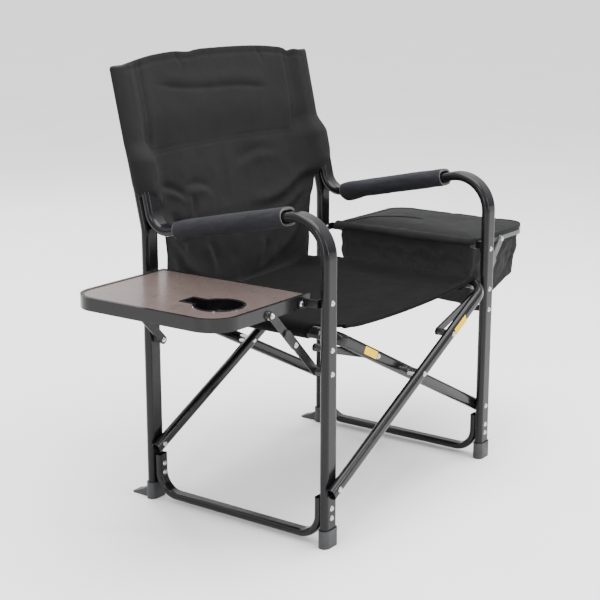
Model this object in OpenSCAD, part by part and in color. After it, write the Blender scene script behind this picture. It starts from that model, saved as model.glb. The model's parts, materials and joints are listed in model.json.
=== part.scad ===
// Folding camp chair with a side table and a soft side cooler.
// +X runs from the table to the cooler, the sitter faces -Y, +Z is up.
// Each side is one leg-and-arm tube plus one rear post; two U frames cross under the seat.
// The origin is on the floor, under the middle of the unfolded chair.

/* [Side frames] */
// Half the distance between the two side frames
leg_x = 295; // [285:1:310]
// Half the distance between front and rear legs
leg_y = 212; // [205:1:220]
// Width of the flat oval leg tube, across the chair
leg_w = 38; // [34:1:40]
// Thickness of the flat oval leg tube, front to back
leg_t = 18; // [16:1:20]
// Wall thickness of every tube
wall = 1.2; // [1:0.1:2]
// Height at which the front leg starts to bend into the arm
arm_bend_z = 545; // [530:1:560]
// Centreline radius of the bend at the front of the arm
arm_bend_r = 70; // [60:1:75]
// Downward slope of the arm towards the back, degrees
arm_slope = 11.8; // [9:0.1:13]
// Centreline radius of the bend behind the arm
rear_bend_r = 42; // [36:1:50]
// Length of the arm tube that runs up along the post
arm_tail = 85; // [70:1:100]
// Backward lean of the post above the arm, degrees
post_lean = 12.5; // [10:0.1:14]
// Height at which the rear leg starts to lean back
post_bend_z = 540; // [530:1:550]
// Centreline radius of the bend in the rear post
post_bend_r = 100; // [80:1:120]
// Height of the top of the rear post
post_top_z = 858; // [840:1:865]

/* [Floor bars and feet] */
// Width of the floor bar tube, across the chair
bar_w = 27; // [24:1:30]
// Thickness of the floor bar tube
bar_t = 15; // [14:1:17]
// Height of the top of the floor bar's ends
bar_top_z = 95; // [92:1:96]
// Centreline radius of the floor bar's corners
bar_bend_r = 44; // [38:1:48]
// Height of the floor bar's centreline above the floor
bar_low_z = 15; // [13:1:20]
// Height of the plastic foot
foot_h = 35; // [32:1:38]
// How far the rear foot's heel reaches back
heel_len = 40; // [34:1:44]

/* [Cross frames] */
// Width of the cross tube, square to the plane of its U
cross_w = 25; // [24:1:27]
// Thickness of the cross tube, in the plane of its U
cross_t = 18; // [16:1:18]
// Height of the hinge between a cross frame and its legs
hinge_z = 118; // [114:1:122]
// Slope of the cross frames when the chair is open, degrees
cross_slope = 26.65; // [26:0.05:27]
// Distance from the middle plane to each seat rail
rail_x = 259; // [256:1:262]
// Centreline radius of the cross frame's corners
cross_bend_r = 42; // [38:1:46]
// Distance along the tube from the crossing to the link pivot
link_reach = 126; // [122:1:130]
// Height of the link pivot on the leg
link_z = 379; // [376:1:382]
// Height of a link bar
link_h = 15; // [14:1:16]
// Thickness of a link bar
link_t = 4; // [3.4:0.1:4.4]

/* [Seat, back and arm pads] */
// Height of the top of the seat fabric
seat_z = 412; // [408:1:416]
// Thickness of the seat fabric with its padding
seat_t = 4; // [3:1:8]
// Depth of the seat fabric, front to back
seat_depth = 360; // [340:1:362]
// Thickness of the back fabric
back_t = 6; // [5:1:8]
// Length of a foam arm pad
pad_len = 262; // [240:1:264]
// Width of a foam arm pad
pad_w = 54; // [50:1:56]
// Height of a foam arm pad
pad_h = 38; // [36:1:40]

/* [Side table and cooler] */
// Distance from the middle plane to the table's and cooler's hinge
side_hinge_x = 330; // [328:1:332]
// Height of the side hinges
side_hinge_z = 466; // [464:1:468]
// Reach of the table and the cooler from the middle plane
side_reach = 560; // [555:1:562]
// Half the width of the table and the cooler, front to back
side_half = 174; // [170:1:175]
// Height of the table's rim
rim_h = 24; // [22:1:26]
// Corner radius of the table's outer corners
table_corner_r = 55; // [50:1:60]
// Inner radius of the cup holder
cup_r = 42; // [40:0.5:43]
// Depth of the cup holder
cup_depth = 32; // [28:1:36]
// Corner radius of the cooler's frame
cooler_corner_r = 40; // [36:1:50]
// Wall thickness of the soft cooler
bag_wall = 3; // [2.5:0.5:5]

/* [Hidden] */
$fn = 48;
eps = 0.01;
fit = 0.05;            // radial clearance of a rivet in its hole
gap = 0.4;             // side clearance between two pieces that slide past each other
play = 0.3;            // clearance between a moving piece and a spacer or rivet head
rivet_r = 3;
head_r = 5.6;
spacer_r = 7;
head_h = 2.2;
dome = 0.62;            // a rivet head's top over its base
lap = 1.5;             // straight tube runs reach this far into the bends
swell = 0.06;          // a bend is this much fuller than a straight run
mid_y = 26;            // middle of the chair's depth, measured from the middle of the legs
rail_len = (leg_x + rail_x) / cos(cross_slope);
cross_len = leg_x / cos(cross_slope);
cross_offset_y = leg_t + gap;
leg_in = leg_y - leg_t / 2;      // distance of a leg's inner face from the middle of the legs
leg_out = leg_y + leg_t / 2;     // distance of a leg's outer face
cross_in = leg_y - cross_offset_y - cross_t / 2;
cross_out = leg_y + cross_offset_y + cross_t / 2;
strut_leg_z = 334;     // height of the strut pivot on the leg
leg_hole_z = [57, 76, hinge_z, strut_leg_z, link_z, side_hinge_z];
strut_top_x = 421;     // strut pivot on the table or cooler
strut_top_z = 463;
strut_low_len = 88;    // from the leg pivot to the middle rivet
strut_angle = atan2(strut_top_z - strut_leg_z, strut_top_x - leg_x);
strut_mid_x = leg_x + strut_low_len * cos(strut_angle);
strut_mid_z = strut_leg_z + strut_low_len * sin(strut_angle);
strut_up_len = norm([strut_top_x - strut_mid_x, strut_top_z - strut_mid_z]);
strut_stop = 34;       // the lower strut reaches this far past the middle rivet
strut_w = 17;
strut_washer = 4;
strut_up_y = side_half + strut_washer;
strut_up_t = 3;
strut_low_y = strut_up_y + strut_up_t + play;
strut_low_t = 3.6;
side_z = side_hinge_z + 14;      // top of the table
side_in_x = 300;                 // inner edge of the table
panel_t = 6;
cup_x = 464;
cup_y = -98;
cup_skin = 2;
slot_w = 34;
slot_end = 72;                   // reach of the mug-handle slot from the cup's centre
rim_sheet = 1.5;                 // sheet metal of the table's and cooler's rims
cooler_rim_w = 14;
cooler_rim_h = 16;
lid_h = 8;
label_u = rail_len - 157;         // from the hinge to the sticker
label_len = 47;
label_h = 15;
cross_end = 18;                  // a cross tube reaches this far past its hinge
bar_rivet_z = [57, 76];
tail_gap = 0.2;                  // between the arm tube's tail and the post
tail_rivet_u = [arm_tail - 38, arm_tail - 14];   // along the tail, under the back fabric

// Arm tube: bend at the front, straight slope, bend at the back, tail along the post
arm_a = [-leg_y + arm_bend_r + arm_bend_r * sin(arm_slope), arm_bend_z + arm_bend_r * cos(arm_slope)];
arm_dir = [cos(arm_slope), -sin(arm_slope)];
tail_dir = [sin(post_lean), cos(post_lean)];
post_b = [leg_y + post_bend_r * (1 - cos(post_lean)), post_bend_z + post_bend_r * sin(post_lean)];
tail_b = [post_b[0] - (leg_t + tail_gap) / cos(post_lean), post_b[1]];
tail_turn = 90 - post_lean + arm_slope;
arm_cross = (tail_b - arm_a) * [tail_dir[1], -tail_dir[0]]
          / (arm_dir * [tail_dir[1], -tail_dir[0]]);
arm_corner = arm_a + arm_dir * arm_cross;
tail_tangent = rear_bend_r * tan(tail_turn / 2);
arm_b = arm_corner - arm_dir * tail_tangent;
tail_a = arm_corner + tail_dir * tail_tangent;
tail_top = tail_a + tail_dir * arm_tail;
rear_centre = arm_b + rear_bend_r * [sin(arm_slope), cos(arm_slope)];
post_len = (post_top_z - post_b[1]) / cos(post_lean);

// ---------- shared shapes ----------

// Moves the chair from the middle of its legs to the middle of its depth
module placed() { translate([0, -mid_y, 0]) children(); }

// The child as it is, and mirrored front to back
module front_and_rear() { children(); mirror([0, 1, 0]) children(); }

// Places a left-hand shape on side s: -1 left, 1 right
module on_side(s) { if (s < 0) children(); else mirror([1, 0, 0]) children(); }

module flat_oval(w, t) {
    square([w - t, t], center = true);
    for (s = [-1, 1]) translate([s * (w - t) / 2, 0]) circle(d = t);
}

module tube_section(w, t) {
    difference() {
        flat_oval(w, t);
        flat_oval(w - 2 * wall, t - 2 * wall);
    }
}

// Straight oval bar in the plane of a side frame, from point a to point b (y, z)
module side_run(a, b, w, t) {
    translate([0, a[0], a[1]]) rotate([-atan2(b[0] - a[0], b[1] - a[1]), 0, 0])
        linear_extrude(norm(b - a)) flat_oval(w, t);
}

// Bent oval bar in the plane of a side frame, about centre c (y, z)
module side_bend(c, r, start, sweep, w, t) {
    translate([0, c[0], c[1]]) rotate([90, 0, 90]) rotate([0, 0, start])
        rotate_extrude(angle = sweep) translate([r, 0]) rotate(90)
            flat_oval(w + 2 * swell, t + 2 * swell);
}

// Bar with round ends between two points (x, z), from y0 to y1
module strip(a, b, w, y0, y1) {
    translate([a[0], y1, a[1]]) rotate([0, -atan2(b[1] - a[1], b[0] - a[0]), 0])
        rotate([90, 0, 0]) linear_extrude(y1 - y0) {
            translate([0, -w / 2]) square([norm(b - a), w]);
            circle(d = w);
            translate([norm(b - a), 0]) circle(d = w);
        }
}

// Round bar along Y
module y_pin(x, z, r, y0, y1) {
    translate([x, y1, z]) rotate([90, 0, 0]) cylinder(h = y1 - y0, r = r);
}

// Ring along Y
module y_ring(x, z, r, bore, y0, y1) {
    difference() {
        y_pin(x, z, r, y0, y1);
        y_pin(x, z, bore, y0 - 1, y1 + 1);
    }
}

// Rivet along Y, with a domed head outside each end
module y_rivet(x, z, y0, y1) {
    y_pin(x, z, rivet_r, y0 - eps, y1 + eps);
    translate([x, y0, z]) rotate([90, 0, 0]) cylinder(h = head_h, r1 = head_r, r2 = head_r * dome);
    translate([x, y1, z]) rotate([-90, 0, 0]) cylinder(h = head_h, r1 = head_r, r2 = head_r * dome);
}

module y_hole(x, z) { y_pin(x, z, rivet_r + fit, -300, 300); }

// ---------- side frames ----------

// Arm tube's solid path; free adds length at the two open ends
module arm_path(w, t, free) {
    side_run([-leg_y, 6 - free], [-leg_y, arm_bend_z + lap], w, t);
    side_bend([-leg_y + arm_bend_r, arm_bend_z], arm_bend_r, 90 - arm_slope, 90 + arm_slope, w, t);
    side_run(arm_a - arm_dir * lap, arm_b + arm_dir * lap, w, t);
    side_bend(rear_centre, rear_bend_r, -90 - arm_slope, tail_turn, w, t);
    side_run(tail_a - tail_dir * lap, tail_top + tail_dir * free, w, t);
}

module post_path(w, t, free) {
    side_run([leg_y, 6 - free], [leg_y, post_bend_z + lap], w, t);
    side_bend([leg_y + post_bend_r, post_bend_z], post_bend_r, 180 - post_lean, post_lean, w, t);
    side_run(post_b - tail_dir * lap, post_b + tail_dir * (post_len + free), w, t);
}

module arm_tube(s) {
    placed() translate([s * leg_x, 0, 0]) difference() {
        arm_path(leg_w, leg_t, 0);
        arm_path(leg_w - 2 * wall, leg_t - 2 * wall, 2);
        for (z = leg_hole_z) y_pin(0, z, rivet_r + fit, -300, 0);
        tail_rivet_holes();
    }
}

module rear_post(s) {
    placed() translate([s * leg_x, 0, 0]) difference() {
        post_path(leg_w, leg_t, 0);
        post_path(leg_w - 2 * wall, leg_t - 2 * wall, 2);
        for (z = leg_hole_z) y_pin(0, z, rivet_r + fit, 0, 300);
        tail_rivet_holes();
    }
}

// Two rivets hold the arm tube's tail against the post
module at_tail_rivets() {
    for (u = tail_rivet_u) translate([0, (tail_a + tail_dir * u)[0], (tail_a + tail_dir * u)[1]])
        rotate([-post_lean, 0, 0]) children();
}

module tail_rivet_holes() {
    at_tail_rivets() rotate([-90, 0, 0]) translate([0, 0, -leg_t])
        cylinder(h = 3 * leg_t, r = rivet_r + fit);
}

module bar_path(w, t, free) {
    end_y = leg_in - bar_t / 2 - eps;
    low_y = end_y - bar_bend_r;
    bend_z = bar_low_z + bar_bend_r;
    side_run([-low_y - lap, bar_low_z], [low_y + lap, bar_low_z], w, t);
    front_and_rear() {
        side_bend([low_y, bend_z], bar_bend_r, -90, 90, w, t);
        side_run([end_y, bend_z - lap], [end_y, bar_top_z + free], w, t);
    }
}

module floor_bar(s) {
    placed() translate([s * leg_x, 0, 0]) difference() {
        bar_path(bar_w, bar_t, 0);
        bar_path(bar_w - 2 * wall, bar_t - 2 * wall, 2);
        for (z = bar_rivet_z) y_hole(0, z);
    }
}

module foot_block(h) {
    difference() {
        linear_extrude(h) flat_oval(leg_w + 6, leg_t + 5);
        translate([0, 0, 6 - eps]) linear_extrude(h) flat_oval(leg_w + 2 * fit, leg_t + 2 * fit);
    }
}

module front_foot(s) {
    color("dimgray") placed() translate([s * leg_x, -leg_y, 0]) foot_block(foot_h);
}

// The rear foot has a heel that sweeps down to a thin tip
module rear_foot(s) {
    heel_w = 26;
    tip_h = 4;
    color("dimgray") placed() translate([s * leg_x, leg_y, 0]) {
        foot_block(foot_h);
        translate([heel_w / 2, leg_t / 2 + 1, 0]) rotate([90, 0, -90]) linear_extrude(heel_w) polygon([
            [0, 0], [-heel_len, 0], [-heel_len - 2, tip_h],
            for (k = [0:6]) [-heel_len * pow(1 - k / 6, 1.8), tip_h + (foot_h - tip_h - 8) * k / 6]
        ]);
    }
}

module arm_pad(s, y_start) {
    a = (y_start - arm_a[0]) / cos(arm_slope);
    start = arm_a + arm_dir * a;
    color("black") placed() translate([s * leg_x, start[0], start[1]])
        rotate([-90 - arm_slope, 0, 0]) linear_extrude(pad_len) difference() {
            flat_oval(pad_w, pad_h);
            flat_oval(leg_w + 2 * fit, leg_t + 2 * fit);
        }
}

// Rivets fixed in one side frame; the hinge rivets also carry its cross frame
module leg_rivets(s) {
    link_near = (s < 0) ? leg_in - cross_offset_y - link_t : leg_in - gap - link_t;
    link_far = (s < 0) ? leg_out + cross_offset_y + link_t : leg_out + gap + link_t;
    bar_in = leg_in - bar_t - 0.9;   // heads stand clear of the bar's bend
    stack = 2 * leg_t + tail_gap;
    hinge_y = (s < 0) ? [-cross_out - play, -leg_in, cross_in - play, leg_out]
                      : [-leg_out, -cross_in + play, leg_in, cross_out + play];
    color("silver") placed() translate([s * leg_x, 0, 0]) {
        for (z = bar_rivet_z) front_and_rear() y_rivet(0, z, bar_in, leg_out);
        y_rivet(0, hinge_z, hinge_y[0], hinge_y[1]);
        y_rivet(0, hinge_z, hinge_y[2], hinge_y[3]);
        front_and_rear() y_rivet(0, strut_leg_z, strut_low_y - play, leg_out);
        y_rivet(0, link_z, -leg_out, -link_near + play);
        y_rivet(0, link_z, leg_in, link_far + play);
        front_and_rear() y_rivet(0, side_hinge_z, leg_in - 3, leg_out);
        at_tail_rivets() rotate([-90, 0, 0]) translate([0, 0, -leg_t / 2]) {
            translate([0, 0, -eps]) cylinder(h = stack + 2 * eps, r = rivet_r);
            translate([0, 0, -head_h]) cylinder(h = head_h, r1 = head_r * dome, r2 = head_r);
            translate([0, 0, stack]) cylinder(h = head_h, r1 = head_r, r2 = head_r * dome);
        }
    }
}

// Spacers on the leg rivets: link spacers on the left side only, strut spacers on both sides
module strut_spacers(s) {
    start = strut_low_y + strut_low_t + play;
    front_and_rear() y_ring(s * leg_x, strut_leg_z, spacer_r, rivet_r + fit, start, leg_in);
}

module left_link_spacers() {
    color("dimgray") placed() {
        y_ring(-leg_x, link_z, spacer_r, rivet_r + fit, -leg_in, -leg_in + cross_offset_y - play);
        y_ring(-leg_x, link_z, spacer_r, rivet_r + fit, leg_out, leg_out + cross_offset_y - play);
        strut_spacers(-1);
    }
}

module post_cap(s) {
    top = post_b + tail_dir * post_len;
    color("black") placed() translate([s * leg_x, top[0], top[1]]) rotate([-post_lean, 0, 0]) {
        linear_extrude(5) flat_oval(leg_w, leg_t);
        translate([0, 0, -12]) linear_extrude(12 + eps)
            flat_oval(leg_w - 2 * wall - 2 * fit, leg_t - 2 * wall - 2 * fit);
    }
}

// Bracket pair that carries the table or the cooler: a plate on the leg, a web and a cheek
module side_brackets(s) {
    plate_t = 3;
    half_h = 7.5;
    cheek_y = side_half + 0.4;
    web_x = side_hinge_x - 15;
    placed() on_side(s) front_and_rear() {
        difference() {
            union() {
                translate([-web_x - plate_t, leg_in - plate_t, side_hinge_z - half_h])
                    cube([web_x + plate_t - leg_x + 10, plate_t, 2 * half_h]);
                translate([-web_x - plate_t, cheek_y, side_hinge_z - half_h])
                    cube([plate_t, leg_in - cheek_y - plate_t + eps, 2 * half_h]);
                translate([-side_hinge_x - half_h, cheek_y, side_hinge_z - half_h])
                    cube([side_hinge_x + half_h - web_x, plate_t, 2 * half_h]);
            }
            y_hole(-leg_x, side_hinge_z);
            y_hole(-side_hinge_x, side_hinge_z);
        }
    }
}

// ---------- cross frames ----------

// U frame in its own plane: legs along +X from the hinge, closed by the seat rail
module cross_tube_shape() {
    half = leg_y;
    straight = rail_len - cross_bend_r;
    difference() {
        union() {
            front_and_rear() {
                translate([-cross_end, half, 0]) rotate([90, 0, 90])
                    linear_extrude(straight + cross_end) tube_section_up();
                translate([straight, half - cross_bend_r, 0])
                    rotate_extrude(angle = 90) translate([cross_bend_r, 0]) tube_section_up();
            }
            translate([rail_len, half - cross_bend_r, 0]) rotate([90, 0, 0])
                linear_extrude(2 * (half - cross_bend_r)) tube_section_up();
        }
        for (u = [0, cross_len, cross_len + link_reach]) y_hole(u, 0);
    }
}

module tube_section_up() { rotate(90) tube_section(cross_w, cross_t); }

// Places a shape of a cross frame's plane on the chair; the frame on side s hinges on that side
module on_cross_frame(s) {
    placed() on_side(s) translate([-leg_x, s * cross_offset_y, hinge_z])
        rotate([0, -cross_slope, 0]) children();
}

module left_cross_tube() { color("dimgray") on_cross_frame(-1) cross_tube_shape(); }
module right_cross_tube() { color("dimgray") on_cross_frame(1) cross_tube_shape(); }

// Rivets and spacers where the two frames cross; they stay with the left cross frame
module crossing_rivets() {
    half_t = cross_t / 2;
    color("silver") on_cross_frame(-1) for (y = [-leg_y, leg_y]) {
        y_rivet(cross_len, 0, y - half_t, y + 2 * cross_offset_y + half_t + play);
        y_ring(cross_len, 0, 8, rivet_r + eps, y + half_t, y + 2 * cross_offset_y - half_t - play);
    }
}

// Spacers between the left cross frame and the right links
module link_spacers() {
    half_t = cross_t / 2;
    end = half_t + cross_offset_y - play;
    color("dimgray") on_cross_frame(-1) for (y = [-leg_y, leg_y])
        y_ring(cross_len + link_reach, 0, spacer_r, rivet_r + fit, y + half_t, y + end);
}

// Pin of the open link pivot: a head on the far side of the tube, flush on the link's side
module link_pin(y_head, y_end) {
    d = sign(y_end - y_head);
    y_pin(cross_len + link_reach, 0, rivet_r, min(y_head, y_end), max(y_head, y_end));
    translate([cross_len + link_reach, y_head, 0]) rotate([d * 90, 0, 0])
        cylinder(h = head_h, r1 = head_r, r2 = head_r * dome);
}

module left_link_pins() {
    half_t = cross_t / 2;
    color("silver") on_cross_frame(-1) for (y = [-leg_y, leg_y])
        link_pin(y - half_t, y + half_t + cross_offset_y - play);
}

module right_link_pins() {
    half_t = cross_t / 2;
    color("silver") on_cross_frame(1) for (y = [-leg_y, leg_y]) link_pin(y - half_t, y + half_t);
}

// Plain sticker near the seat rail, with no wording
module cross_label(s) {
    color("gold") on_cross_frame(s) translate([label_u, -leg_y - cross_t / 2 - 0.5, -label_h / 2])
        cube([label_len, 0.5, label_h]);
}

// Link bars: from the leg pivot to the pivot on the other side's cross frame
module link_bars(s) {
    a = [-leg_x, link_z];
    end = [-leg_x + (cross_len - link_reach) * cos(cross_slope),
           hinge_z + (cross_len + link_reach) * sin(cross_slope)];
    shim = 0.1;
    front = (s < 0) ? -leg_in + cross_offset_y + shim : -leg_in + gap;
    rear = (s < 0) ? leg_out + cross_offset_y + shim : leg_out + gap;
    color("dimgray") placed() on_side(s) for (y = [front, rear]) {
        difference() {
            strip(a, end, link_h, y, y + link_t);
            y_hole(a[0], a[1]);
        }
        translate([end[0], y + link_t, end[1]]) rotate([-90, 0, 0])
            cylinder(h = head_h, r1 = head_r, r2 = head_r * dome);
    }
}

// ---------- fabric ----------

module seat_sling() {
    half_x = rail_x - 15;
    color("black") placed() translate([-half_x, -seat_depth / 2, seat_z - seat_t])
        cube([2 * half_x, seat_depth, seat_t]);
}

// Back fabric: a panel between the posts with a sleeve around each post
module backrest() {
    sleeve_low = 109;
    panel_half = leg_x - leg_w / 2 - 1;
    sleeve_w = leg_w + 6;
    sleeve_t = leg_t + 6;
    top_len = post_len + 4;
    crown = 20;
    panel_low = 40;
    lower_half = 244;
    color("black") placed() translate([0, post_b[0], post_b[1]]) rotate([-post_lean, 0, 0]) {
        translate([-panel_half, -back_t / 2, panel_low])
            cube([2 * panel_half, back_t, top_len + crown - panel_low]);
        for (s = [-1, 1]) translate([s * leg_x, 0, sleeve_low]) linear_extrude(top_len - sleeve_low)
            difference() {
                flat_oval(sleeve_w, sleeve_t);
                flat_oval(leg_w + 0.6, leg_t + 0.6);
            }
    }
    color("black") placed() translate([-lower_half, leg_y + back_t - 1, seat_z + 2])
        cube([2 * lower_half, back_t, post_b[1] + panel_low * cos(post_lean) - seat_z]);
}

// ---------- side table ----------

// Rounded outline of the table or cooler: square inner corners, round outer corners
module side_outline(inner_x, outer_x, half, r) {
    translate([inner_x, -half]) square([outer_x - r - inner_x, 2 * half]);
    translate([inner_x, -half + r]) square([outer_x - inner_x, 2 * (half - r)]);
    for (s = [-1, 1]) translate([outer_x - r, s * (half - r)]) circle(r = r);
}

// Channel along the underside of a rim of width w, between two walls of sheet metal
module rim_channel(z, h, inner_x, outer_x, r, w) {
    a = rim_sheet;
    b = w - rim_sheet;
    translate([0, 0, z - 1]) linear_extrude(h + 1) difference() {
        side_outline(inner_x + a, outer_x - a, side_half - a, r - a);
        side_outline(inner_x + b, outer_x - b, side_half - b, r - b);
    }
}

module table_rim() {
    ledge = 14;
    lip = 7;
    color("dimgray") placed() mirror([1, 0, 0]) difference() {
        translate([0, 0, side_z - rim_h]) linear_extrude(rim_h)
            side_outline(side_in_x, side_reach, side_half, table_corner_r);
        translate([0, 0, side_z - rim_h - 1]) linear_extrude(rim_h + 2)
            side_outline(side_in_x + ledge, side_reach - ledge, side_half - ledge,
                table_corner_r - ledge);
        translate([0, 0, side_z - panel_t]) linear_extrude(rim_h)
            side_outline(side_in_x + lip, side_reach - lip, side_half - lip, table_corner_r - lip);
        rim_channel(side_z - rim_h, rim_h - panel_t - rim_sheet, side_in_x, side_reach,
            table_corner_r, ledge);
        y_hole(side_hinge_x, side_hinge_z);
        y_hole(strut_top_x, strut_top_z);
    }
}

module cup_outline(r, slot_half, slot_reach) {
    circle(r = r);
    translate([-slot_half, 0]) square([2 * slot_half, slot_reach]);
}

module table_panel() {
    lip = 7.2;
    well_h = 40;
    color("rosybrown") placed() mirror([1, 0, 0]) difference() {
        translate([0, 0, side_z - panel_t]) linear_extrude(panel_t - 1)
            side_outline(side_in_x + lip, side_reach - lip, side_half - lip, table_corner_r - lip);
        translate([cup_x, cup_y, side_z - well_h / 2]) linear_extrude(well_h)
            cup_outline(cup_r + cup_skin + 0.2, slot_w / 2 + 0.2, slot_end + 0.2);
    }
}

// Cup well with a slot for a mug's handle and a drain hole
module cup_holder() {
    flange_h = 1.6;
    color("black") placed() mirror([1, 0, 0]) translate([cup_x, cup_y, side_z]) difference() {
        union() {
            translate([0, 0, -cup_depth]) linear_extrude(cup_depth)
                cup_outline(cup_r + cup_skin, slot_w / 2, slot_end);
            translate([0, 0, -1]) linear_extrude(flange_h)
                cup_outline(cup_r + 5, slot_w / 2 + 3, slot_end + 3);
        }
        translate([0, 0, -cup_depth + cup_skin]) cylinder(h = cup_depth + 5, r = cup_r, $fn = 96);
        translate([-slot_w / 2 + cup_skin, 0, -cup_depth + cup_skin])
            cube([slot_w - 2 * cup_skin, slot_end - cup_skin, cup_depth + 5]);
        translate([0, 0, -cup_depth - 1]) cylinder(h = 6, r = 5);
    }
}

// Rivets that carry the table or cooler: hinge rivets and strut rivets
module side_rivets(s, rim_t) {
    placed() on_side(s) front_and_rear() {
        y_rivet(-side_hinge_x, side_hinge_z, side_half - rim_t, side_half + 3.7);
        y_rivet(-strut_top_x, strut_top_z, side_half - rim_t, strut_up_y + strut_up_t + play);
        y_ring(-strut_top_x, strut_top_z, 8, rivet_r + eps, side_half, strut_up_y - play);
    }
}

module lower_struts(s) {
    stop_end = strut_low_len + strut_stop;
    color("dimgray") placed() on_side(s) front_and_rear() difference() {
        strip([-leg_x, strut_leg_z], [-leg_x - stop_end * cos(strut_angle),
            strut_leg_z + stop_end * sin(strut_angle)], strut_w, strut_low_y, strut_low_y + strut_low_t);
        y_hole(-leg_x, strut_leg_z);
    }
}

module upper_struts(s) {
    color("gray") placed() on_side(s) front_and_rear() difference() {
        strip([-strut_top_x, strut_top_z], [-strut_mid_x, strut_mid_z], strut_w - 1,
            strut_up_y, strut_up_y + strut_up_t);
        y_hole(-strut_top_x, strut_top_z);
    }
}

// Heads of the middle strut pivot; they stay with the lower strut
module strut_heads(s) {
    color("silver") placed() on_side(s) front_and_rear()
        translate([-strut_mid_x, strut_low_y + strut_low_t, strut_mid_z]) rotate([-90, 0, 0])
            cylinder(h = head_h, r1 = head_r, r2 = head_r * dome);
}

// ---------- cooler ----------

module cooler_rim() {
    bar_inset = 20;
    lid_overhang = 8;
    inner_x = side_hinge_x - bar_inset;
    outer_x = side_reach - lid_overhang;
    low_z = side_hinge_z - cooler_rim_h / 2;
    w = cooler_rim_w;
    color("gray") placed() difference() {
        translate([0, 0, low_z]) linear_extrude(cooler_rim_h)
            side_outline(inner_x, outer_x, side_half, cooler_corner_r);
        translate([0, 0, low_z - 1]) linear_extrude(cooler_rim_h + 2)
            side_outline(inner_x + w, outer_x - w, side_half - w, cooler_corner_r - w);
        rim_channel(low_z, cooler_rim_h - rim_sheet, inner_x, outer_x, cooler_corner_r, w);
        y_hole(side_hinge_x, side_hinge_z);
        y_hole(strut_top_x, strut_top_z);
    }
}

// Side profile of the soft cooler (x, z), drawn in by d on every side
module bag_profile(d) {
    polygon([
        [side_hinge_x - 26 + d, side_hinge_z - 10], [side_hinge_x - 24 + d, 334 + d], [350, 328 + d],
        [470, 342 + d], [side_reach - 16 - d, 362 + d], [side_reach - 20 - d, side_hinge_z - 10]
    ]);
}

module cooler_bag() {
    bag_half = side_half - 6;
    color("black") placed() difference() {
        translate([0, bag_half, 0]) rotate([90, 0, 0]) linear_extrude(2 * bag_half) bag_profile(0);
        translate([0, bag_half - bag_wall, 0.5]) rotate([90, 0, 0])
            linear_extrude(2 * (bag_half - bag_wall)) bag_profile(bag_wall);
    }
}

// Padded lid that lies on the frame
module cooler_lid() {
    color("black") placed() translate([0, 0, side_hinge_z + cooler_rim_h / 2 + 1])
        linear_extrude(lid_h) side_outline(side_in_x, side_reach - 1, side_half, cooler_corner_r + 8);
}

module left_arm_tube() { color("dimgray") arm_tube(-1); }
module right_arm_tube() { color("dimgray") arm_tube(1); }
module left_rear_post() { color("dimgray") rear_post(-1); }
module right_rear_post() { color("dimgray") rear_post(1); }
module left_floor_bar() { color("gray") floor_bar(-1); }
module right_floor_bar() { color("gray") floor_bar(1); }
module table_brackets() { color("black") side_brackets(-1); }
module cooler_brackets() { color("black") { side_brackets(1); placed() strut_spacers(1); } }
module table_rivets() { color("silver") side_rivets(-1, 14); }
module cooler_rivets() { color("silver") side_rivets(1, cooler_rim_w); }

left_arm_tube();
left_rear_post();
left_floor_bar();
front_foot(-1);  // left_front_foot
rear_foot(-1);  // left_rear_foot
arm_pad(-1, -123);  // left_arm_pad
leg_rivets(-1);  // left_leg_rivets
left_link_spacers();
post_cap(-1);  // left_post_cap
table_brackets();
backrest();
right_arm_tube();
right_rear_post();
right_floor_bar();
front_foot(1);  // right_front_foot
rear_foot(1);  // right_rear_foot
arm_pad(1, -106);  // right_arm_pad
leg_rivets(1);  // right_leg_rivets
post_cap(1);  // right_post_cap
cooler_brackets();
left_cross_tube();
crossing_rivets();
link_spacers();
left_link_pins();
cross_label(-1);  // left_label
right_cross_tube();
right_link_pins();
cross_label(1);  // right_label
link_bars(-1);  // left_links
link_bars(1);  // right_links
seat_sling();
table_rim();
table_panel();
cup_holder();
table_rivets();
lower_struts(-1);  // table_lower_struts
upper_struts(-1);  // table_upper_struts
strut_heads(-1);  // table_strut_rivets
cooler_rim();
cooler_bag();
cooler_lid();
cooler_rivets();
lower_struts(1);  // cooler_lower_struts
upper_struts(1);  // cooler_upper_struts
strut_heads(1);  // cooler_strut_rivets
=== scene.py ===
"""Folding camp chair: fabric, padding, materials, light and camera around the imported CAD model.

Every length is in metres, in the CAD model's own frame: +X runs from the table to the cooler,
the sitter faces -Y and +Z is up.
"""
import json
import math

import bmesh
import bpy
import numpy as np
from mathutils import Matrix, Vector, noise


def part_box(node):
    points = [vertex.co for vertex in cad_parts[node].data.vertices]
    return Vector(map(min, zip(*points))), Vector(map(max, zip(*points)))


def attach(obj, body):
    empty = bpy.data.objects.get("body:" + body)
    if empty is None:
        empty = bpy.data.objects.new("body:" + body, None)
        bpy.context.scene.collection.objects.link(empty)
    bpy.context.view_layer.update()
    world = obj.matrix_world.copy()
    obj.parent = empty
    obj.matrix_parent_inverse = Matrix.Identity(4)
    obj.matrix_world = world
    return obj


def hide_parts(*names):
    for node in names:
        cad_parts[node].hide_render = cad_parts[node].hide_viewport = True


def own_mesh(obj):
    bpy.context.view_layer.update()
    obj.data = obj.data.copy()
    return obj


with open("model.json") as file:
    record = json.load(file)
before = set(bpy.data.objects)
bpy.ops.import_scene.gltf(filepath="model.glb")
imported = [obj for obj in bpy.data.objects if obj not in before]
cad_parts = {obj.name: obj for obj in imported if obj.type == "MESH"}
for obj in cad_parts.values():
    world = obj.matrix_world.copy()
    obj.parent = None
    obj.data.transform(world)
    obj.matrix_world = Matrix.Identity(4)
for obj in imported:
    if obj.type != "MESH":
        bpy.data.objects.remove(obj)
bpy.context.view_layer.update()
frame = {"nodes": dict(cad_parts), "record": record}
scene = bpy.context.scene


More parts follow.
